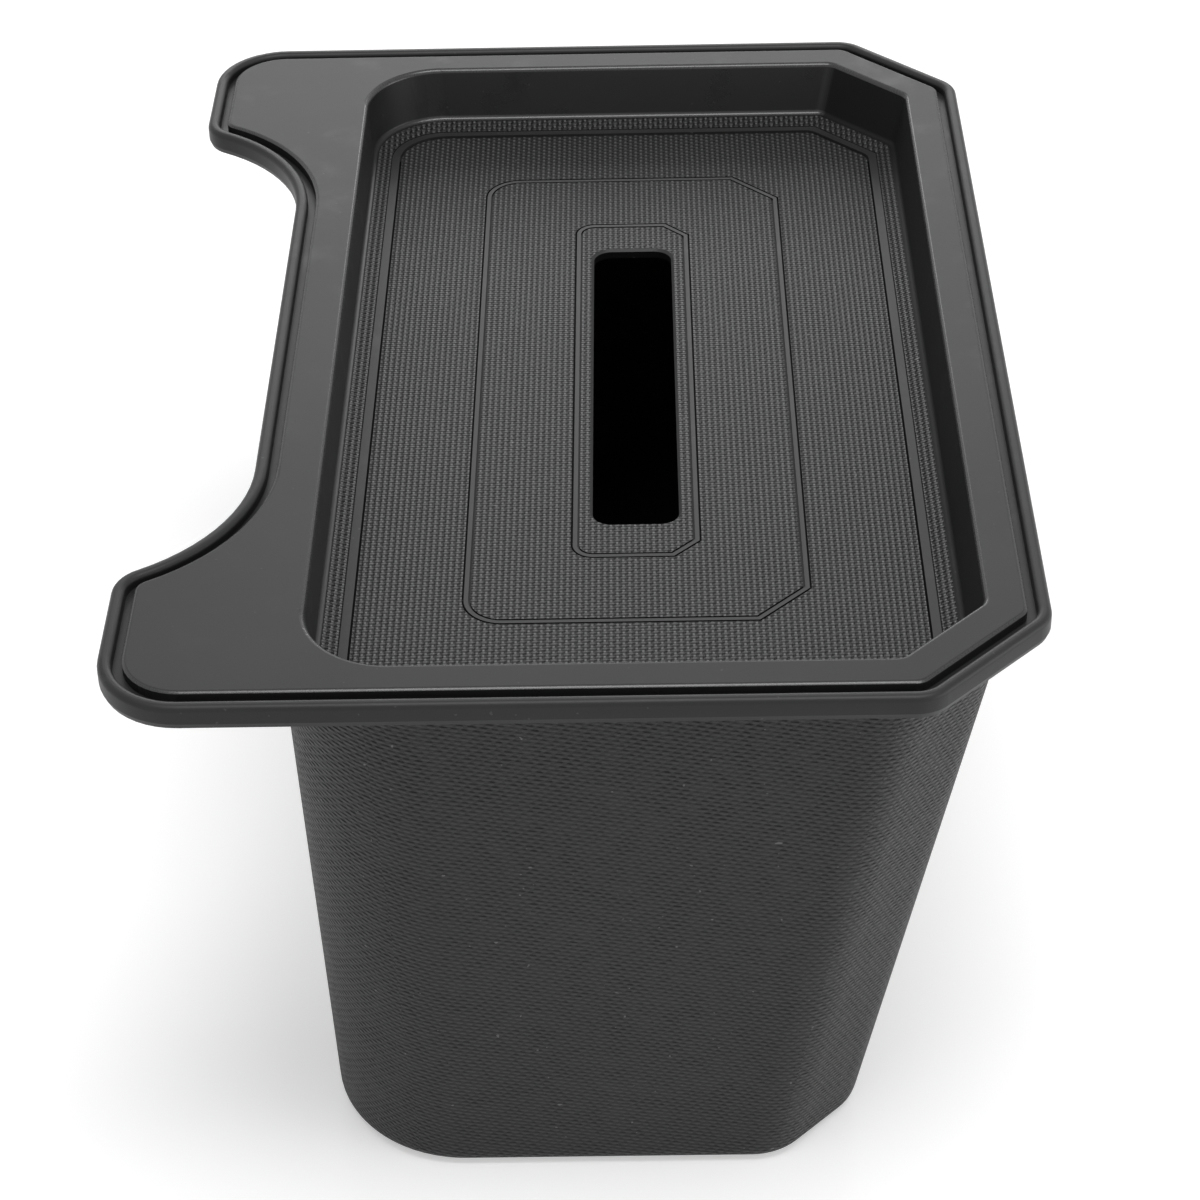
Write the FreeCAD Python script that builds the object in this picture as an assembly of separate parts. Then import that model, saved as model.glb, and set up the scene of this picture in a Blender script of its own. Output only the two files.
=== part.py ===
import FreeCAD, Part
import math
import os

# Floor bin for the back of a car's centre console, with a lift-off tray lid.
# Two soft mouldings: the bin with its notched rim, and the lid whose tray hangs in the bin's mouth.
# Millimetres. +X runs from the notched console side to the chamfered side, +Y along the length, +Z up.
# The origin is under the middle of the rim's box, on the surface that the bin stands on.

V = FreeCAD.Vector

# Overall sizes of the rim and the height of the closed bin
rim_length = 290.0
rim_width = 197.0
total_height = 160.0

# Rim outline: two ears beside a notch on the console side, chamfers on the other side
ear_width = 46.0
ear_reach = 26.4
notch_radius = 44.0
ear_inner_radius = 8.8
ear_outer_radius = 18.0
rim_chamfer = 26.4
rim_chamfer_radius = 9.0

# Rim section: a shelf for the lid with a round bead along its outer edge
shelf_thickness = 3.0
bead_width = 3.0
bead_round = 1.3
rim_foot_bevel_height = 1.3
rim_foot_bevel_depth = 0.5
lid_gap = 2.1

# Clearance between the tray's outer wall and the bin's mouth
mouth_clearance_end = 3.1
mouth_clearance_chamfer_side = 1.0
mouth_clearance_notch = 2.7

# Bin walls: wall thickness, floor and how far each wall leans in on its way down
bin_wall = 2.2
bin_floor = 2.6
lean_end = 21.0
lean_chamfer_side = 27.0
lean_notch = 2.2
wall_chamfer = 22.0
wall_chamfer_foot = 19.5
wall_chamfer_radius = 16.0
wall_corner_radius = 32.0
foot_round = 5.0
bin_inner_bevel = 3.0

# Lid plate and its tray
plate_thickness = 2.5
plate_edge_bevel = 0.4
tray_depth = 15.4
tray_wall = 1.8
tray_floor = 2.4
band_end = 8.5
band_chamfer_side = 8.4
band_notch = 10.0
tray_lean_end = 3.0
tray_lean_chamfer_side = 3.1
tray_lean_notch = 0.9
tray_chamfer = 18.5
tray_chamfer_radius = 4.0
tray_corner_radius = 19.0
tray_mouth_round = 1.2
tray_inner_round = 1.2
tray_foot_bevel = 1.2

# Raised border on the tray floor: a textured ledge that slopes down to a smooth ribbon
ledge_width = 5.0
ledge_rise = 1.4
ledge_lip = 0.2
ribbon_width = 2.0
ribbon_height = 0.5

# Two frames in the tray floor, each a smooth band between two grooves, and the slot inside them
groove_width = 0.45
groove_depth = 0.5
frame_band = 1.0
outer_frame_inset_end = 33.6
outer_frame_inset_chamfer_side = 34.5
outer_frame_inset_notch = 31.3
outer_frame_chamfer = 11.5
outer_frame_radius = 9.0
frame_spacing_end = 24.0
inner_frame_chamfer = 6.0
inner_frame_radius = 5.0
slot_inset_end = 13.3
slot_inset_side = 4.8
slot_width = 19.5
slot_radius = 4.5
slot_edge_bevel = 0.6

# How far an edge may lie from the outline it is picked by
level_tolerance = 0.001
pick_margin = 1.0

# Places worked out from the sizes above
rim_half = rim_length / 2
ear_x = -rim_width / 2
chamfer_x = rim_width / 2
notch_x = ear_x + ear_reach
rim_margin = bead_width + lid_gap
lid_half = rim_half - rim_margin
lid_chamfer_x = chamfer_x - rim_margin
lid_notch_x = notch_x + rim_margin
shelf_top = total_height - plate_thickness
shelf_bottom = shelf_top - shelf_thickness
tray_half = lid_half - band_end
tray_right = lid_chamfer_x - band_chamfer_side
tray_left = lid_notch_x + band_notch
mouth_half = tray_half + tray_wall + mouth_clearance_end
mouth_right = tray_right + tray_wall + mouth_clearance_chamfer_side
mouth_left = tray_left - tray_wall - mouth_clearance_notch
frame_half = tray_half - outer_frame_inset_end
frame_left = tray_left + outer_frame_inset_notch
frame_right = tray_right - outer_frame_inset_chamfer_side
inner_frame_half = frame_half - frame_spacing_end
slot_middle = (frame_left + frame_right) / 2
slot_half = inner_frame_half - slot_inset_end
tray_floor_z = total_height - tray_depth
tray_bottom_z = tray_floor_z - tray_floor
ribbon_z = tray_floor_z + ribbon_height
ledge_z = ribbon_z + ledge_rise


def mirrored_corners(corners):
    """Corners of the +Y half followed by their mirror images, as one closed loop."""
    return corners + [(x, -y, radius) for x, y, radius in reversed(corners)]


def rounded_loop(corners, z):
    """Closed wire through (x, y, radius) corners, rounded by tangent arcs or left crisp at radius 0."""
    edges = []
    spans = []
    for index, (x, y, radius) in enumerate(corners):
        here = V(x, y, z)
        before = V(corners[index - 1][0], corners[index - 1][1], z)
        following = corners[(index + 1) % len(corners)]
        after = V(following[0], following[1], z)
        back = (before - here).normalize()
        ahead = (after - here).normalize()
        half_angle = back.getAngle(ahead) / 2
        reach = radius / math.tan(half_angle)
        middle = here + (back + ahead).normalize() * (radius / math.sin(half_angle) - radius)
        spans.append((here + back * reach, middle, here + ahead * reach))
    for index, (start, middle, end) in enumerate(spans):
        if (end - start).Length > level_tolerance:
            edges.append(Part.Arc(start, middle, end).toShape())
        following = spans[(index + 1) % len(spans)][0]
        if (following - end).Length > level_tolerance:
            edges.append(Part.LineSegment(end, following).toShape())
    return Part.Wire(edges)


def inset_chamfer(chamfer, inset):
    """Leg of a 45 degree chamfer after its outline has moved inwards on every side."""
    return chamfer - (2 - math.sqrt(2)) * inset


def rim_loop(inset, z):
    """The rim's outline with its ears, notch and chamfers, moved inwards by a distance."""
    # Each side of the notch is two arcs that meet with no straight between them
    slope = math.acos(1 - ear_reach / (notch_radius + ear_inner_radius))
    slope_rise = ear_reach / math.tan(slope)
    ear_y = rim_half - ear_width
    notch_y = ear_y - slope_rise
    loop = rounded_loop(mirrored_corners([
        (notch_x, notch_y, notch_radius),
        (ear_x, ear_y, ear_inner_radius),
        (ear_x, rim_half, ear_outer_radius),
        (chamfer_x - rim_chamfer, rim_half, rim_chamfer_radius),
        (chamfer_x, rim_half - rim_chamfer, rim_chamfer_radius),
    ]), z)
    if inset > 0:
        loop = loop.makeOffset2D(-inset)
    return loop


def prism(loop, height):
    """Upright solid standing on a flat loop."""
    return Part.Face(loop).extrude(V(0, 0, height))


def edge_middle(edge):
    """The point halfway along an edge."""
    return edge.valueAt((edge.FirstParameter + edge.LastParameter) / 2)


def edges_through(shape, points):
    """Edges whose middle is one of the points."""
    def on_a_point(edge):
        return any(edge_middle(edge).distanceToPoint(point) < level_tolerance for point in points)
    return [edge for edge in shape.Edges if on_a_point(edge)]


def edges_at(shape, z):
    """Edges that lie level at a height."""
    def is_level(edge):
        box = edge.BoundBox
        return max(abs(box.ZMin - z), abs(box.ZMax - z)) < level_tolerance
    return [edge for edge in shape.Edges if is_level(edge)]


def edges_within(edges, left, right, half):
    """Those edges whose middle lies inside an upright box, or close outside it."""
    kept = []
    for edge in edges:
        middle = edge_middle(edge)
        across = left - pick_margin < middle.x < right + pick_margin
        if across and abs(middle.y) < half + pick_margin:
            kept.append(edge)
    return kept


def frustum(lower, upper, round_radius, chamfer_radius):
    """Flat-walled solid between two six-cornered rings, with its upright edges rounded.

    The first and last corners are the two square ones, and the rest belong to the chamfers.
    """
    faces = [Part.Face(Part.makePolygon(ring + ring[:1])) for ring in (lower, upper)]
    for k in range(len(lower)):
        wall = [lower[k - 1], lower[k], upper[k], upper[k - 1], lower[k - 1]]
        faces.append(Part.Face(Part.makePolygon(wall)))
    solid = Part.Solid(Part.makeShell(faces))
    upright = [(below + above) / 2 for below, above in zip(lower, upper)]
    solid = solid.makeFillet(round_radius, edges_through(solid, [upright[0], upright[-1]]))
    return solid.makeFillet(chamfer_radius, edges_through(solid, upright[1:-1]))


def chamfered_ring(left, right, half, chamfer, z):
    """Six corners of an outline that is square on its left and chamfered on its right."""
    upper = [(left, half), (right - chamfer, half), (right, half - chamfer)]
    lower = [(x, -y) for x, y in reversed(upper)]
    return [V(x, y, z) for x, y in upper + lower]


def wall_ring(z, inset):
    """The bin wall's corners at a height, leaning in evenly from the shelf down to the floor."""
    down = (shelf_bottom - z) / shelf_bottom
    left = mouth_left - bin_wall + lean_notch * down + inset
    right = mouth_right + bin_wall - lean_chamfer_side * down - inset
    half = mouth_half + bin_wall - lean_end * down - inset
    chamfer = inset_chamfer(wall_chamfer + (wall_chamfer_foot - wall_chamfer) * down, inset)
    return chamfered_ring(left, right, half, chamfer, z)


def wall_frustum(bottom, top, inset):
    """The bin wall's outer or inner surface between two heights, as a solid."""
    return frustum(wall_ring(bottom, inset), wall_ring(top, inset),
                   wall_corner_radius - inset, wall_chamfer_radius - inset)


def tray_ring(z, inset):
    """The tray wall's corners at a height, leaning in from the mouth down to the floor."""
    down = (total_height - z) / tray_depth
    left = tray_left + tray_lean_notch * down + inset
    right = tray_right - tray_lean_chamfer_side * down - inset
    half = tray_half - tray_lean_end * down - inset
    return chamfered_ring(left, right, half, inset_chamfer(tray_chamfer, inset), z)


def tray_frustum(bottom, top, inset):
    """The tray wall's inner or outer surface between two heights, as a solid."""
    return frustum(tray_ring(bottom, inset), tray_ring(top, inset),
                   tray_corner_radius - inset, tray_chamfer_radius - inset)


def tray_pocket(bottom, inset):
    """Upright-walled pocket from just above the ledge down to a height, following its outline."""
    outline = tray_ring(ledge_z, inset)
    top_ring = [corner + V(0, 0, ledge_lip) for corner in outline]
    bottom_ring = [corner + V(0, 0, bottom - ledge_z) for corner in outline]
    return frustum(bottom_ring, top_ring, tray_corner_radius - inset, tray_chamfer_radius)


def storage_bin():
    """Tapered open bin with a shelf round its mouth and a bead along the rim."""
    outside = wall_frustum(0, shelf_bottom, 0)
    outside = outside.makeFillet(foot_round, edges_at(outside, 0))
    inside = wall_frustum(bin_floor, shelf_top, bin_wall)
    inside = inside.makeChamfer(bin_inner_bevel, edges_at(inside, bin_floor))
    shelf = prism(rim_loop(0, shelf_bottom), shelf_thickness + plate_thickness)
    moat = prism(rim_loop(bead_width, shelf_top), plate_thickness)
    rim = shelf.cut(moat)
    rim = rim.makeFillet(bead_round, edges_at(rim, total_height))
    rim = rim.makeChamfer(rim_foot_bevel_height, rim_foot_bevel_depth, edges_at(rim, shelf_bottom))
    shell = outside.fuse(rim).removeSplitter()
    return shell.cut(inside).removeSplitter()


def groove(loop):
    """Ring cut inside a loop that lies at the groove's bottom."""
    inner = loop.makeOffset2D(-groove_width)
    return prism(loop, 2 * groove_depth).cut(prism(inner, 2 * groove_depth))


def frame_grooves(left, right, half, chamfer, radius):
    """The two grooves of one frame: round corners on the left, crisp chamfers on the right."""
    outer = rounded_loop(mirrored_corners([
        (left, half, radius),
        (right - chamfer, half, 0),
        (right, half - chamfer, 0),
    ]), tray_floor_z - groove_depth)
    inner = outer.makeOffset2D(-groove_width - frame_band)
    return groove(outer).fuse(groove(inner))


def tray_lid():
    """Plate with the rim's outline, a sunken tray, a framed floor and a slot through it."""
    plate = prism(rim_loop(rim_margin, shelf_top), plate_thickness)
    plate = plate.makeChamfer(plate_edge_bevel, edges_at(plate, total_height))
    under = tray_frustum(tray_bottom_z, shelf_top, -tray_wall)
    under = under.makeChamfer(tray_foot_bevel, edges_at(under, tray_bottom_z))
    hollow = tray_frustum(ledge_z, total_height, 0)
    hollow = hollow.makeFillet(tray_inner_round, edges_at(hollow, ledge_z))
    lid = plate.fuse(under).cut(hollow)

    floor_inset = ledge_width + ribbon_width
    slope_inset = tray_inner_round + ledge_lip
    slope = tray_pocket(ribbon_z, slope_inset)
    slope = slope.makeChamfer(ledge_width - slope_inset, ledge_rise, edges_at(slope, ribbon_z))
    floor = tray_pocket(tray_floor_z, floor_inset)
    floor_groove = tray_pocket(tray_floor_z - groove_depth, floor_inset)
    floor_groove = floor_groove.cut(tray_pocket(tray_floor_z - groove_depth, floor_inset + groove_width))
    lid = lid.cut(slope).cut(floor).cut(floor_groove)

    lid = lid.cut(frame_grooves(frame_left, frame_right, frame_half,
                                outer_frame_chamfer, outer_frame_radius))
    slot_left = slot_middle - slot_width / 2
    slot_right = slot_middle + slot_width / 2
    lid = lid.cut(frame_grooves(slot_left - slot_inset_side, slot_right + slot_inset_side,
                                inner_frame_half, inner_frame_chamfer, inner_frame_radius))
    slot = rounded_loop(mirrored_corners([
        (slot_left, slot_half, slot_radius),
        (slot_right, slot_half, slot_radius),
    ]), tray_bottom_z)
    lid = lid.cut(prism(slot, tray_floor)).removeSplitter()

    slot_edges = edges_within(edges_at(lid, tray_floor_z), slot_left, slot_right, slot_half)
    lid = lid.makeChamfer(slot_edge_bevel, slot_edges)
    mouth_edges = edges_within(edges_at(lid, total_height), tray_left, tray_right, tray_half)
    return lid.makeFillet(tray_mouth_round, mouth_edges)


os.makedirs("parts", exist_ok=True)
for name, shape in (("storage_bin", storage_bin()), ("tray_lid", tray_lid())):
    solid = shape.Solids[0]
    solid.exportStep("parts/" + name + ".step")
    print(name, round(solid.Volume / 1000, 1), "cm3", "valid" if solid.isValid() else "NOT VALID")
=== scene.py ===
import math

import bpy
from mathutils import Matrix, Vector

# A floor bin for a car's centre console and its lift-out tray lid, in soft black moulded rubber.
# Metres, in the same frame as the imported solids: +Y along the length, +X towards the chamfered side.

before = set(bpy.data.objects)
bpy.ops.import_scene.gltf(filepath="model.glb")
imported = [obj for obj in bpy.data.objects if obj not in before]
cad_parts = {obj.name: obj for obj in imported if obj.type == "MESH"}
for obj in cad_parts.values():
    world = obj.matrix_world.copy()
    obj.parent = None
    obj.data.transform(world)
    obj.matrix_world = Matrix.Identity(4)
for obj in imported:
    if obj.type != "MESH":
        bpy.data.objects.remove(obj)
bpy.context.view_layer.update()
scene = bpy.context.scene
scene.view_settings.view_transform = "Standard"

# Heights that part one finish from the next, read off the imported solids
LID_TOP = 0.1600
SHELF_UNDER = 0.1545
LEDGE = 0.1465
RIBBON = 0.1451
TRAY_FLOOR = 0.1446
GROOVE_BOTTOM = 0.1441
TRAY_FLOOR_UNDER = 0.1422

# How far the lip reaches below the lid's top, and how near to a height counts as level with it
LIP_REACH = 0.0012
LEVEL_WITH = 0.0001
HAIR = 0.00002

# The bin's middle, and its round upright corners beside the notch: their centre lines and radius
BIN_MIDDLE_X = 0.010
CORNER_X = -0.0307
CORNER_Y = 0.096
CORNER_RADIUS = 0.032

# Outer edge of each frame on the tray floor: left, right, half length, chamfer and round corner
FRAMES = ((-0.0257, 0.0505, 0.0978, 0.0115, 0.009), (-0.00215, 0.02695, 0.0738, 0.006, 0.005))
GROOVE, BAND = 0.00045, 0.00100
# Past this the grooves get a fainter painted shade
FAR_RIBBON_Y = 0.105

# How much of a face's normal points up on a flat, a slope, the bin's floor, a bevel and a wall
FLAT, SLOPE, BIN_FLOOR, BEVEL, WALL = 0.95, 0.9, 0.7, 0.5, 0.05

# How much of it lies level on a wall of the bin and at most on its base, and along one axis on a square wall
WALL_LEVEL, BASE_LEVEL, SQUARE = 0.3, 0.25, 0.93

# The tray's walls turn from matt sides, painted darker as shade, to satin ends in steps, and the side that
# faces away starts part way
WALL_POLISH_STEPS = 6
AWAY_POLISH = 0.6
POLISH_START, POLISH_SPAN = 0.70, 0.28
LEAST_LEVEL = 0.001

# The weaves repeat along these pairs of steps, each a run and a rise
WALL_LATTICE = ((0.002325, -0.000476), (0.001373, 0.000952))
FLOOR_LATTICE = ((0.001360, 0.000948), (0.001360, -0.000948))

# Where a weave's ovals lie between the points of its lattice, in steps, and their half run and half rise
WALL_PIT = ((0.0, 0.0), 0.00092, 0.00030)
WALL_CROWN = ((0.25, 0.5), 0.00085, 0.00040)
FLOOR_DOT = ((0.0, 0.0), 0.00042, 0.00042)
FLOOR_PAD = ((0.5, 0.5), 0.00062, 0.00055)
FLOOR_PIT = ((0.5, 0.0), 0.00030, 0.00052)
FLOOR_HOLLOW = ((0.0, 0.5), 0.00024, 0.00040)
WALL_ROW_FALL = 0.205
FLOOR_PIT_LEAN = 0.25
OVAL_EDGE = 1.3

# Heights in the weaves, as shares of their depth
WALL_CROWN_HEIGHT, WALL_PIT_DEPTH = 0.35, 0.65
FLOOR_DOT_HEIGHT, FLOOR_PAD_HEIGHT, FLOOR_PIT_DEPTH, FLOOR_HOLLOW_DEPTH = 0.5, 0.2, 0.5, 0.55

# Noise scales, in features to the metre, and the part of a noise that counts
CLOUD_SCALE, RUB_SCALE, SPECK_SCALE = 26.0, 70.0, 900.0
GRAIN_SCALE, COARSE_GRAIN_SCALE = 2600.0, 620.0
WANDER_SCALE, UNEVEN_SCALE = 330.0, 220.0
CLOUDS, RUBBED, SPECKS, UNEVEN = (0.3, 0.7), (0.52, 0.78), (0.850, 0.870), (0.35, 0.65)
COARSE_SHARE = 0.5

# Pointiness from where the painted highlight on an edge starts to where it is full
HIGHLIGHT_EDGE = (0.505, 0.56)

# A colour mix has its factor, colours and result among other sockets of the same names
MIX_FACTOR, MIX_FIRST, MIX_SECOND, MIX_RESULT = 0, 6, 7, 2


# Node helpers

def link(tree, source, target):
    tree.links.new(source, target)


def math_node(tree, operation, *values):
    node = tree.nodes.new("ShaderNodeMath")
    node.operation = operation
    for socket, value in zip(node.inputs, values):
        if isinstance(value, (int, float)):
            socket.default_value = value
        else:
            link(tree, value, socket)
    return node.outputs[0]


def map_range(tree, value, low, high, to_low=0.0, to_high=1.0, smooth=True):
    node = tree.nodes.new("ShaderNodeMapRange")
    node.interpolation_type = "SMOOTHSTEP" if smooth else "LINEAR"
    link(tree, value, node.inputs["Value"])
    node.inputs["From Min"].default_value = low
    node.inputs["From Max"].default_value = high
    node.inputs["To Min"].default_value = to_low
    node.inputs["To Max"].default_value = to_high
    return node.outputs["Result"]


def mix_colour(tree, share, first, second):
    node = tree.nodes.new("ShaderNodeMix")
    node.data_type = "RGBA"
    link(tree, share, node.inputs[MIX_FACTOR])
    for socket, colour in ((node.inputs[MIX_FIRST], first), (node.inputs[MIX_SECOND], second)):
        if isinstance(colour, tuple):
            socket.default_value = (*colour, 1.0)
        else:
            link(tree, colour, socket)
    return node.outputs[MIX_RESULT]


def noise(tree, vector, scale, detail=2.0, roughness=0.5):
    node = tree.nodes.new("ShaderNodeTexNoise")
    node.inputs["Scale"].default_value = scale
    node.inputs["Detail"].default_value = detail
    node.inputs["Roughness"].default_value = roughness
    link(tree, vector, node.inputs["Vector"])
    return node.outputs["Fac"]


def bump(tree, height, strength, distance, before=None):
    node = tree.nodes.new("ShaderNodeBump")
    node.inputs["Strength"].default_value = strength
    node.inputs["Distance"].default_value = distance
    link(tree, height, node.inputs["Height"])
    if before is not None:
        link(tree, before, node.inputs["Normal"])
    return node.outputs["Normal"]


def split(tree, place):
    node = tree.nodes.new("ShaderNodeSeparateXYZ")
    link(tree, place, node.inputs[0])
    return node.outputs


def new_group(name, inputs, outputs, input_kind="NodeSocketFloat"):
    """A shader node group, with its input and output nodes; every output is a plain value."""
    group = bpy.data.node_groups.new(name, "ShaderNodeTree")
    for label in inputs:
        group.interface.new_socket(label, in_out="INPUT", socket_type=input_kind)
    for label in outputs:
        group.interface.new_socket(label, in_out="OUTPUT", socket_type="NodeSocketFloat")
    return group, group.nodes.new("NodeGroupInput"), group.nodes.new("NodeGroupOutput")


def place_group(tree, group, **sources):
    node = tree.nodes.new("ShaderNodeGroup")
    node.node_tree = group
    for label, source in sources.items():
        link(tree, source, node.inputs[label])
    return node


# Effects that several finishes share

def from_lattice(tree, run, rise, first, second, shift):
    """How far a place lies from the nearest point of a slanted lattice, along the run and the rise."""
    area = first[0] * second[1] - first[1] * second[0]
    steps = []
    for run_share, rise_share, start in ((second[1], -second[0], shift[0]), (-first[1], first[0], shift[1])):
        across = math_node(tree, "MULTIPLY_ADD", rise, rise_share / area, 0.5 - start)
        step = math_node(tree, "FRACT", math_node(tree, "MULTIPLY_ADD", run, run_share / area, across))
        steps.append(math_node(tree, "SUBTRACT", step, 0.5))
    away = []
    for axis in (0, 1):
        part = math_node(tree, "MULTIPLY", steps[1], second[axis])
        away.append(math_node(tree, "MULTIPLY_ADD", steps[0], first[axis], part))
    return away


def ovals(tree, run, rise, lattice, shape, soft, lean=0.0, fall=0.0):
    """One in the middle of each oval and nothing between; ovals lean as they rise and fall as they run."""
    shift, half_run, half_rise = shape
    away = from_lattice(tree, run, rise, *lattice, shift)
    across = math_node(tree, "MULTIPLY_ADD", away[1], lean, away[0])
    across = math_node(tree, "DIVIDE", across, half_run)
    up = math_node(tree, "MULTIPLY_ADD", away[0], fall, away[1])
    up = math_node(tree, "DIVIDE", up, half_rise)
    reach = math_node(tree, "MULTIPLY_ADD", across, across, math_node(tree, "MULTIPLY", up, up))
    return map_range(tree, reach, soft, OVAL_EDGE, 1.0, 0.0)


def make_wall_weave():
    """Nearly level rows of long shallow pits, with low threads between the rows."""
    group, given, made = new_group("wall_weave", ("Run", "Rise", "Strength"), ("Height", "Pit", "Crown"))
    run, rise = given.outputs["Run"], given.outputs["Rise"]
    pit = ovals(group, run, rise, WALL_LATTICE, WALL_PIT, soft=0.1, fall=WALL_ROW_FALL)
    pit = math_node(group, "MULTIPLY", pit, given.outputs["Strength"])
    crown = ovals(group, run, rise, WALL_LATTICE, WALL_CROWN, soft=0.0, fall=WALL_ROW_FALL)
    height = math_node(group, "MULTIPLY_ADD", crown, WALL_CROWN_HEIGHT, WALL_PIT_DEPTH)
    link(group, math_node(group, "MULTIPLY_ADD", pit, -WALL_PIT_DEPTH, height), made.inputs["Height"])
    link(group, pit, made.inputs["Pit"])
    link(group, crown, made.inputs["Crown"])
    return group


def make_floor_weave():
    """A plain weave: round raised dots, lower pads between them and deep pits beside them."""
    group, given, made = new_group("floor_weave", ("Run", "Rise", "Strength"), ("Height", "Pit", "Crown"))
    run, rise = given.outputs["Run"], given.outputs["Rise"]
    dot = ovals(group, run, rise, FLOOR_LATTICE, FLOOR_DOT, soft=0.05)
    pad = ovals(group, run, rise, FLOOR_LATTICE, FLOOR_PAD, soft=0.0)
    pit = ovals(group, run, rise, FLOOR_LATTICE, FLOOR_PIT, soft=0.2, lean=-FLOOR_PIT_LEAN)
    hollow = ovals(group, run, rise, FLOOR_LATTICE, FLOOR_HOLLOW, soft=0.0, lean=FLOOR_PIT_LEAN)
    pit = math_node(group, "MAXIMUM", pit, math_node(group, "MULTIPLY", hollow, FLOOR_HOLLOW_DEPTH))
    pit = math_node(group, "MULTIPLY", pit, given.outputs["Strength"])
    height = math_node(group, "MULTIPLY_ADD", dot, FLOOR_DOT_HEIGHT, FLOOR_PIT_DEPTH)
    height = math_node(group, "MULTIPLY_ADD", pad, FLOOR_PAD_HEIGHT, height)
    link(group, math_node(group, "MULTIPLY_ADD", pit, -FLOOR_PIT_DEPTH, height), made.inputs["Height"])
    link(group, pit, made.inputs["Pit"])
    link(group, dot, made.inputs["Crown"])
    return group


def make_moulded_skin():
    """The matt skin of moulded rubber: cloudy tone, fine grain, rubbed patches and specks of dust."""
    group, given, made = new_group(
        "moulded_skin", ("Vector",), ("Tone", "Grain", "Rubbed", "Dust"), "NodeSocketVector")
    place = given.outputs["Vector"]
    clouds = noise(group, place, CLOUD_SCALE, 3.0, 0.55)
    link(group, map_range(group, clouds, *CLOUDS, smooth=False), made.inputs["Tone"])
    fine = noise(group, place, GRAIN_SCALE, 2.0, 0.6)
    coarse = noise(group, place, COARSE_GRAIN_SCALE)
    link(group, math_node(group, "MULTIPLY_ADD", coarse, COARSE_SHARE, fine), made.inputs["Grain"])
    patches = noise(group, place, RUB_SCALE, 4.0, 0.65)
    link(group, map_range(group, patches, *RUBBED), made.inputs["Rubbed"])
    specks = noise(group, place, SPECK_SCALE, 0.0)
    link(group, map_range(group, specks, *SPECKS), made.inputs["Dust"])
    return group


def make_edge_highlight():
    """Convex edges, a little paler: a painted highlight."""
    group, given, made = new_group("edge_highlight", ("Grain",), ("Highlight",))
    geometry = group.nodes.new("ShaderNodeNewGeometry")
    edge = map_range(group, geometry.outputs["Pointiness"], *HIGHLIGHT_EDGE)
    link(group, math_node(group, "MULTIPLY", edge, given.outputs["Grain"]), made.inputs["Highlight"])
    return group


WALL_WEAVE = make_wall_weave()
FLOOR_WEAVE = make_floor_weave()
SKIN = make_moulded_skin()
EDGE_HIGHLIGHT = make_edge_highlight()


# Directions that a weave follows

def flat_run(turn):
    """The run along a flat upright wall whose direction is turned from +X, and the rise up it."""
    def build(tree, place):
        mapping = tree.nodes.new("ShaderNodeMapping")
        mapping.inputs["Rotation"].default_value = (0.0, 0.0, -math.radians(turn))
        link(tree, place, mapping.inputs["Vector"])
        axes = split(tree, mapping.outputs["Vector"])
        return axes[0], axes[2]
    return build


def corner_run(side):
    """The run round one of the bin's round corners, and the rise up it."""
    def build(tree, place):
        mapping = tree.nodes.new("ShaderNodeMapping")
        mapping.inputs["Location"].default_value = (-CORNER_X, -side * CORNER_Y, 0.0)
        link(tree, place, mapping.inputs["Vector"])
        axes = split(tree, mapping.outputs["Vector"])
        back = math_node(tree, "MULTIPLY", axes[0], -1.0)
        angle = math_node(tree, "ARCTAN2", axes[1], back)
        return math_node(tree, "MULTIPLY", angle, -CORNER_RADIUS), axes[2]
    return build


def floor_run(tree, place):
    """Across and along a level floor."""
    axes = split(tree, place)
    return axes[0], axes[1]


# Finishes

def near_black(value, blue=0.0):
    return (value, value, value + blue)


DUST = (0.20, 0.20, 0.195)
# Painted shade for the crease at a weave's foot
CREASE_SHADE = near_black(0.002)
COOL = 0.0005

# The dark and the pale tone of each kind of surface
WALL_TONES = near_black(0.016, COOL), near_black(0.021, COOL)
SATIN_TONES = near_black(0.015, COOL), near_black(0.019, COOL)
RIM_TONES = near_black(0.012, COOL), near_black(0.016, COOL)
# The grooves' near-black tones are painted shade in the grooves; the faint ones are a lighter painted shade
GROOVE_SHADE_TONES = near_black(0.003), near_black(0.004)
FAINT_GROOVE_SHADE_TONES = near_black(0.012), near_black(0.016)

# Indices of refraction
WALL_IOR, SATIN_IOR, RIM_IOR, BRIGHT_IOR = 1.37, 1.345, 1.35, 1.50

# Strengths of the skin's grain, its depth, and half the height over which the painted crease shade at a
# weave's foot fades
PLAIN_GRAIN, FINE_GRAIN, COARSE_GRAIN, WEAVE_GRAIN = 0.12, 0.08, 0.2, 0.15
GRAIN_DEPTH = 0.0001
CREASE_SHADE_EDGE = 0.00003

# How far the painted edge highlight and dust show
HIGHLIGHT_SHARE, HIGHLIGHT_LIFT = 0.5, 2.2
SMOOTH_DUST, WEAVE_DUST = 0.15, 0.6

# What the skin and the weave add to the roughness
UNRUBBED_ROUGH, RUBBED_ROUGH, GRAIN_ROUGH = 0.02, -0.07, 0.05
CROWN_ROUGH, PIT_ROUGH, WEAVE_GRAIN_ROUGH = -0.05, 0.25, 0.06

# A tray wall's dark tone, roughness, index of refraction and specular level, matt and bright; the matt
# sides' darker tone is painted shade
MATT_SHADED_TRAY_WALL = (0.008, 0.50, SATIN_IOR, 0.2)
BRIGHT_TRAY_WALL = (0.010, 0.24, BRIGHT_IOR, 0.5)
TRAY_WALL_PALER = 1.4


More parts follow.
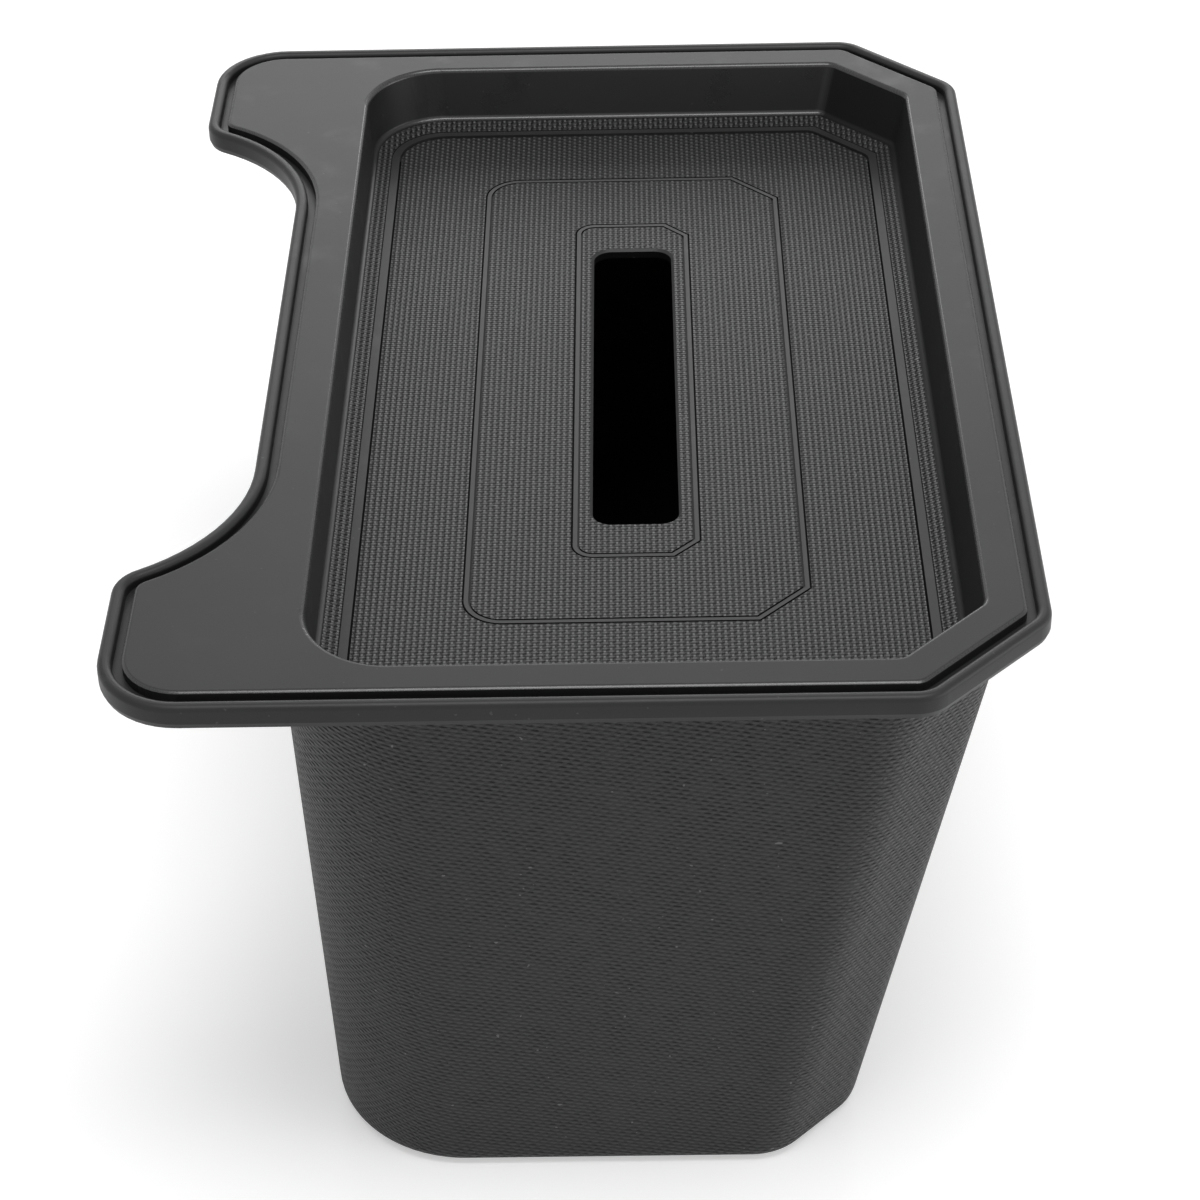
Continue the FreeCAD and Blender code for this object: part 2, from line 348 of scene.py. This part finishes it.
def start_rubber(name, roughness, ior, specular=0.5):
    material = bpy.data.materials.new(name)
    material.use_nodes = True
    tree = material.node_tree
    shader = next(node for node in tree.nodes if node.type == "BSDF_PRINCIPLED")
    shader.inputs["IOR"].default_value = ior
    shader.inputs["Roughness"].default_value = roughness
    shader.inputs["Specular IOR Level"].default_value = specular
    place = tree.nodes.new("ShaderNodeTexCoord").outputs["Object"]
    return material, tree, shader, place


def smooth_rubber(name, tones, roughness, grain=PLAIN_GRAIN, ior=SATIN_IOR, specular=0.5):
    """Satin moulded surface: matt black with a fine grain, cloudy sheen and convex edges paler with a
    painted highlight.
    """
    material, tree, shader, place = start_rubber(name, roughness, ior, specular)
    dark, pale = tones
    skin = place_group(tree, SKIN, Vector=place)
    # Convex edges are painted paler: a painted highlight
    highlight = place_group(tree, EDGE_HIGHLIGHT, Grain=skin.outputs["Grain"]).outputs["Highlight"]
    colour = mix_colour(tree, skin.outputs["Tone"], dark, pale)
    highlight = math_node(tree, "MULTIPLY", highlight, HIGHLIGHT_SHARE)
    colour = mix_colour(tree, highlight, colour, tuple(HIGHLIGHT_LIFT * c for c in pale))
    colour = mix_colour(tree, math_node(tree, "MULTIPLY", skin.outputs["Dust"], SMOOTH_DUST), colour, DUST)
    link(tree, colour, shader.inputs["Base Color"])
    rough = math_node(tree, "MULTIPLY_ADD", skin.outputs["Rubbed"], RUBBED_ROUGH, roughness + UNRUBBED_ROUGH)
    rough = math_node(tree, "MULTIPLY_ADD", skin.outputs["Grain"], GRAIN_ROUGH, rough)
    link(tree, rough, shader.inputs["Roughness"])
    link(tree, bump(tree, skin.outputs["Grain"], grain, GRAIN_DEPTH), shader.inputs["Normal"])
    return material


def woven_rubber(name, tones, roughness, ior, run_and_rise, weave_group, depth, pit_shade, crown_highlight, pits,
                 wander=0.0, foot=None):
    """Moulded weave with painted shade in its pits, a painted highlight on its crowns, and a painted crease
    shade below a foot height.
    """
    material, tree, shader, place = start_rubber(name, roughness, ior)
    dark, pale = tones
    skin = place_group(tree, SKIN, Vector=place)
    run, rise = run_and_rise(tree, place)
    run = math_node(tree, "MULTIPLY_ADD", noise(tree, place, WANDER_SCALE), wander, run)
    uneven = map_range(tree, noise(tree, place, UNEVEN_SCALE, 4.0, 0.8), *UNEVEN, *pits, smooth=False)
    weave = place_group(tree, weave_group, Run=run, Rise=rise, Strength=uneven)
    pit, crown = weave.outputs["Pit"], weave.outputs["Crown"]
    colour = mix_colour(tree, skin.outputs["Tone"], dark, pale)
    # Painted highlight on the crowns, painted shade in the pits
    colour = mix_colour(tree, crown, colour, tuple(crown_highlight * c for c in pale))
    colour = mix_colour(tree, pit, colour, tuple(pit_shade * c for c in dark))
    colour = mix_colour(tree, math_node(tree, "MULTIPLY", skin.outputs["Dust"], WEAVE_DUST), colour, DUST)
    rough = math_node(tree, "MULTIPLY_ADD", crown, CROWN_ROUGH, roughness)
    rough = math_node(tree, "MULTIPLY_ADD", pit, PIT_ROUGH, rough)
    rough = math_node(tree, "MULTIPLY_ADD", skin.outputs["Grain"], WEAVE_GRAIN_ROUGH, rough)
    # A painted crease shade below the foot height
    if foot is not None:
        height = split(tree, place)[2]
        crease_shade = map_range(tree, height, foot - CREASE_SHADE_EDGE, foot + CREASE_SHADE_EDGE, 1.0, 0.0)
        colour = mix_colour(tree, crease_shade, colour, CREASE_SHADE)
        rough = math_node(tree, "MAXIMUM", rough, crease_shade)
    link(tree, colour, shader.inputs["Base Color"])
    link(tree, rough, shader.inputs["Roughness"])
    fine = bump(tree, skin.outputs["Grain"], WEAVE_GRAIN, GRAIN_DEPTH)
    link(tree, bump(tree, weave.outputs["Height"], 1.0, depth, fine), shader.inputs["Normal"])
    return material


def tray_wall_finish(polish):
    """A tray wall from matt with a darker painted shade, at no polish, to the bright satin of the end walls,
    at one.
    """
    dark, roughness, ior, specular = (
        matt + (bright - matt) * polish for matt, bright in zip(MATT_SHADED_TRAY_WALL, BRIGHT_TRAY_WALL))
    tones = near_black(dark, COOL), near_black(TRAY_WALL_PALER * dark, COOL)
    return smooth_rubber("tray_wall_satin", tones, roughness, FINE_GRAIN, ior, specular)


# Woven walls: painted shade in the pits, painted highlight on the crowns
def wall_finish(name, run_and_rise, ior=WALL_IOR, depth=0.00042, pit_shade=0.70, crown_highlight=1.25):
    return woven_rubber(name, WALL_TONES, 0.52, ior, run_and_rise, WALL_WEAVE, depth, pit_shade, crown_highlight,
                        pits=(0.10, 1.35), wander=0.0018)


plate_finish = smooth_rubber("plate_satin", SATIN_TONES, 0.41)
lip_finish = smooth_rubber("lip_satin", SATIN_TONES, 0.22, grain=FINE_GRAIN, ior=BRIGHT_IOR)
tray_wall_finishes = [tray_wall_finish(step / WALL_POLISH_STEPS) for step in range(WALL_POLISH_STEPS + 1)]
# Painted shade in the grooves, and a fainter painted shade for the far and inner ones
groove_shade_finish = smooth_rubber("groove_shade_satin", GROOVE_SHADE_TONES, 0.7, specular=0.1)
faint_groove_shade_finish = smooth_rubber("faint_groove_shade_satin", FAINT_GROOVE_SHADE_TONES, 0.6)
ribbon_finish = smooth_rubber("ribbon_satin", SATIN_TONES, 0.42)
# The floor's and the ledge's weave: strong painted shade in the pits and painted highlight on the dots
floor_finish = woven_rubber("tray_floor_weave", SATIN_TONES, 0.36, SATIN_IOR, floor_run, FLOOR_WEAVE,
                            depth=0.00055, pit_shade=0.05, crown_highlight=5.5, pits=(0.7, 1.05))
ledge_finish = woven_rubber("ledge_weave", WALL_TONES, 0.36, SATIN_IOR, floor_run, FLOOR_WEAVE,
                            depth=0.00065, pit_shade=0.03, crown_highlight=4.0, pits=(1.2, 1.7),
                            foot=RIBBON + 0.00012)
under_finish = smooth_rubber("lid_under_satin", WALL_TONES, 0.5)

rim_finish = smooth_rubber("rim_satin", RIM_TONES, 0.40, grain=COARSE_GRAIN, ior=RIM_IOR)
inside_finish = smooth_rubber("bin_inside_satin", WALL_TONES, 0.48, grain=COARSE_GRAIN)

# The weave on the chamfers is crisper, with a stronger painted highlight on its crowns and deeper painted
# shade in its pits
CRISP = {"ior": 1.395, "depth": 0.00055, "pit_shade": 0.62, "crown_highlight": 1.45}
near_end_finish = wall_finish("near_end_weave", flat_run(0))
far_end_finish = wall_finish("far_end_weave", flat_run(180))
chamfer_side_finish = wall_finish("chamfer_side_weave", flat_run(90))
notch_side_finish = wall_finish("notch_side_weave", flat_run(270))
near_chamfer_finish = wall_finish("near_chamfer_weave", flat_run(45), **CRISP)
far_chamfer_finish = wall_finish("far_chamfer_weave", flat_run(135), **CRISP)
near_corner_finish = wall_finish("near_corner_weave", corner_run(-1))
far_corner_finish = wall_finish("far_corner_weave", corner_run(1))


# Finishes on the two mouldings, chosen face by face

def bin_face(centre, normal):
    level = math.hypot(normal.x, normal.y)
    outward = normal.x * (centre.x - BIN_MIDDLE_X) + normal.y * centre.y > 0
    if centre.z > SHELF_UNDER - HAIR:
        return rim_finish
    if normal.z > BIN_FLOOR or level < BASE_LEVEL or (level > WALL_LEVEL and not outward):
        return inside_finish
    if abs(normal.y) > SQUARE * level:
        return far_end_finish if normal.y > 0 else near_end_finish
    if abs(normal.x) > SQUARE * level:
        return chamfer_side_finish if normal.x > 0 else notch_side_finish
    if centre.x > 0:
        return far_chamfer_finish if centre.y > 0 else near_chamfer_finish
    return far_corner_finish if centre.y > 0 else near_corner_finish


def frame_insets(centre):
    """How far a place lies inside the outer edge of each frame."""
    x, y = centre.x, abs(centre.y)
    for left, right, half, chamfer, radius in FRAMES:
        inset = min(x - left, right - x, half - y, (right + half - chamfer - x - y) / math.sqrt(2))
        if x < left + radius and y > half - radius:
            inset = radius - math.hypot(x - left - radius, y - half + radius)
        yield inset


def on_band(centre):
    """Whether a place on the tray floor belongs to the smooth band of a frame."""
    return any(GROOVE < inset < GROOVE + BAND for inset in frame_insets(centre))


def on_inner_groove(centre):
    """Whether a place belongs to the groove inside a frame's band, which gets a fainter painted shade."""
    return any(abs(inset - 1.5 * GROOVE - BAND) < GROOVE for inset in frame_insets(centre))


def wall_polish(normal):
    """None on a tray wall that faces the notch, some on the one that faces away, and all on the ends."""
    least = AWAY_POLISH if normal.x > 0 else 0.0
    along = abs(normal.y) / max(math.hypot(normal.x, normal.y), LEAST_LEVEL)
    return max(least, min(1.0, max(0.0, (along - POLISH_START) / POLISH_SPAN)))


def lid_face(centre, normal):
    far = centre.y > FAR_RIBBON_Y
    if normal.z > FLAT:
        for height, finish in ((LID_TOP, plate_finish), (RIBBON, ribbon_finish)):
            if abs(centre.z - height) < LEVEL_WITH:
                return finish
        if abs(centre.z - TRAY_FLOOR) < LEVEL_WITH:
            return ribbon_finish if on_band(centre) else floor_finish
        # Groove floors: painted shade, fainter at the far end and inside the bands
        if abs(centre.z - GROOVE_BOTTOM) < LEVEL_WITH:
            return faint_groove_shade_finish if far or on_inner_groove(centre) else groove_shade_finish
    if normal.z > SLOPE and RIBBON < centre.z < LEDGE:
        return ledge_finish
    if centre.z > LID_TOP - LIP_REACH and normal.z > WALL:
        return lip_finish
    if centre.z > LEDGE - LEVEL_WITH and normal.z > -WALL:
        return tray_wall_finishes[round(WALL_POLISH_STEPS * wall_polish(normal))]
    # Walls of the grooves and steps below the ledge: painted shade, fainter at the far end
    if TRAY_FLOOR_UNDER < centre.z < LEDGE and normal.z > -WALL:
        if normal.z > BEVEL:
            return ribbon_finish
        return faint_groove_shade_finish if far else groove_shade_finish
    return under_finish


def dress(node, choose):
    """Gives each face of a moulding the finish that its place asks for."""
    mesh = node.data
    chosen = [choose(face.center, face.normal) for face in mesh.polygons]
    finishes = list(dict.fromkeys(chosen))
    mesh.materials.clear()
    for finish in finishes:
        mesh.materials.append(finish)
    for face, finish in zip(mesh.polygons, chosen):
        face.material_index = finishes.index(finish)


dress(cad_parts["storage_bin"], bin_face)
dress(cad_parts["tray_lid"], lid_face)


# Floor and light

WHITE, PAPER = (1.0, 1.0, 1.0, 1.0), (0.80, 0.80, 0.80, 1.0)
FLOOR_SIZE = 30.0

# The floor's own glow to the eye, near the bin and where it has faded to white, and the reach of the two
NEAR_GLOW, FAR_GLOW = 0.42, 1.0
NEAR_REACH, FAR_REACH = 0.5, 1.4

# The world's strength as light on the bin, and to the eye
WORLD_LIGHT, WORLD_SEEN = 0.36, 1.0

# Soft lights: name, place, aim, width and height, and power in watts
SOFT_LIGHTS = (
    ("top_softbox", (0.10, -0.35, 1.6), (0.0, 0.0, 0.15), (0.9, 0.7), 15.0),
    ("side_softbox", (1.5, -0.5, 0.35), (0.05, -0.05, 0.08), (1.2, 0.6), 8.2),
    ("back_softbox", (0.0, 2.2, 0.95), (0.0, 0.0, 0.15), (1.3, 0.8), 11.5),
)


def any_seen(tree):
    """One for a ray that shows the place itself: to the eye, in a reflection or through glass."""
    rays = tree.nodes.new("ShaderNodeLightPath").outputs
    seen = math_node(tree, "MAXIMUM", rays["Is Camera Ray"], rays["Is Glossy Ray"])
    return math_node(tree, "MAXIMUM", seen, rays["Is Transmission Ray"])


def make_floor():
    """A wide pale floor that takes the bin's shadow and fades to plain white further out."""
    bpy.ops.mesh.primitive_plane_add(size=FLOOR_SIZE, location=(0.0, 0.0, 0.0))
    floor = bpy.context.object
    floor.name = "studio_floor"
    material = bpy.data.materials.new("studio_white")
    material.use_nodes = True
    tree = material.node_tree
    tree.nodes.clear()
    out = tree.nodes.new("ShaderNodeOutputMaterial")
    paper = tree.nodes.new("ShaderNodeBsdfDiffuse")
    paper.inputs["Color"].default_value = PAPER
    glow = tree.nodes.new("ShaderNodeEmission")
    glow.inputs["Color"].default_value = WHITE
    outwards = tree.nodes.new("ShaderNodeVectorMath")
    outwards.operation = "LENGTH"
    link(tree, tree.nodes.new("ShaderNodeTexCoord").outputs["Object"], outwards.inputs[0])
    white = map_range(tree, outwards.outputs["Value"], NEAR_REACH, FAR_REACH, NEAR_GLOW, FAR_GLOW)
    link(tree, math_node(tree, "MULTIPLY", any_seen(tree), white), glow.inputs["Strength"])
    both = tree.nodes.new("ShaderNodeAddShader")
    link(tree, paper.outputs[0], both.inputs[0])
    link(tree, glow.outputs[0], both.inputs[1])
    link(tree, both.outputs[0], out.inputs["Surface"])
    floor.data.materials.append(material)


def make_world():
    """White to the eye and a plain even light on the bin."""
    world = bpy.data.worlds.new("studio")
    scene.world = world
    world.use_nodes = True
    tree = world.node_tree
    tree.nodes.clear()
    out = tree.nodes.new("ShaderNodeOutputWorld")
    sky = tree.nodes.new("ShaderNodeBackground")
    sky.inputs["Color"].default_value = WHITE
    strength = map_range(tree, any_seen(tree), 0.0, 1.0, WORLD_LIGHT, WORLD_SEEN, smooth=False)
    link(tree, strength, sky.inputs["Strength"])
    link(tree, sky.outputs[0], out.inputs["Surface"])


def soft_light(name, place, aim, size, power):
    lamp = bpy.data.lights.new(name, "AREA")
    lamp.shape = "RECTANGLE"
    lamp.size, lamp.size_y = size
    lamp.energy = power
    holder = bpy.data.objects.new(name, lamp)
    holder.location = place
    holder.rotation_mode = "QUATERNION"
    holder.rotation_quaternion = (Vector(aim) - Vector(place)).to_track_quat("-Z", "Y")
    scene.collection.objects.link(holder)


make_floor()
make_world()
for light in SOFT_LIGHTS:
    soft_light(*light)


# Camera: above and in front of the near end, looking down the length

CAMERA_PLACE = (0.0133545, -0.6553011, 0.5608233)
PITCH, YAW, ROLL = 0.63416, -0.01585, 0.02402
SENSOR, LENS = 36.0, 97.19


def make_camera():
    forward = Vector((math.sin(YAW) * math.cos(PITCH), math.cos(YAW) * math.cos(PITCH), -math.sin(PITCH)))
    right = Vector((math.cos(YAW), -math.sin(YAW), 0.0))
    down = forward.cross(right)
    level = math.cos(ROLL) * right + math.sin(ROLL) * down
    upright = math.sin(ROLL) * right - math.cos(ROLL) * down
    camera = bpy.data.cameras.new("camera")
    camera.sensor_width = SENSOR
    camera.lens = LENS
    camera.clip_start, camera.clip_end = 0.01, 100.0
    holder = bpy.data.objects.new("camera", camera)
    turn = Matrix((level, upright, -forward)).transposed()
    holder.matrix_world = Matrix.Translation(CAMERA_PLACE) @ turn.to_4x4()
    scene.collection.objects.link(holder)
    scene.camera = holder


make_camera()
